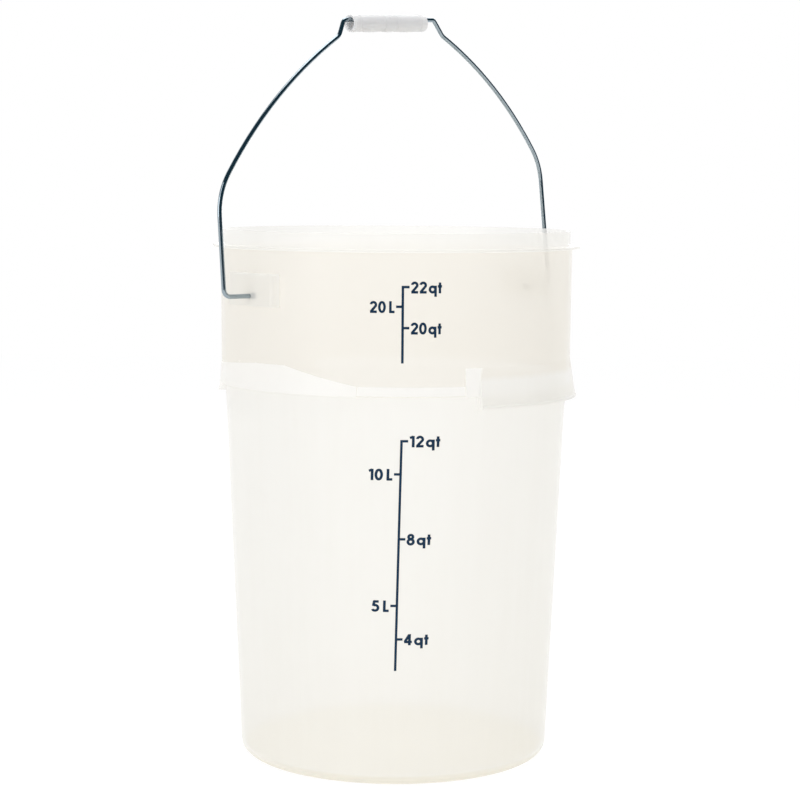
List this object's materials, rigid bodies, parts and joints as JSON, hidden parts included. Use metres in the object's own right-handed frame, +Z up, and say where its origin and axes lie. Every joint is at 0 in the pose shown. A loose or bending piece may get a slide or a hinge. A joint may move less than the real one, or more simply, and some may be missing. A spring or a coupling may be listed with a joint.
{
  "type": "plastic fermenting bucket",
  "caption": "Tapered translucent fermenting bucket with a lid collar, lip handles, a printed volume scale and a wire bail with a ribbed grip.",
  "frame": {"origin": "middle of the standing face, on the floor", "axes": "+Z up, +X along the bail's pivot axis through the ears; the printed scale faces -X and -Y"},
  "size_m": [0.3473, 0.295, 0.597],
  "materials": {
    "bucket_plastic": "moulded natural polypropylene, milky and translucent, with a soft sheen",
    "bail_steel": "bright drawn steel wire",
    "grip_plastic": "moulded white polypropylene with a satin gloss"
  },
  "bodies": {
    "bucket": {"bucket_body": "bucket_plastic"},
    "bail": {"bail_wire": "bail_steel"},
    "grip": {"bail_grip": "grip_plastic"}
  },
  "joints": [
    {"name": "bail_swing", "type": "hinge", "parent": "bucket", "child": "bail", "pos_m": [0, 0, 0.3755], "axis": [1, 0, 0], "range_deg": [-137, 137]},
    {"name": "grip_spin", "type": "hinge", "parent": "bail", "child": "grip", "pos_m": [-0.01188, 0, 0.58847], "axis": [0.999, 0, 0.0453], "continuous": true}
  ]
}
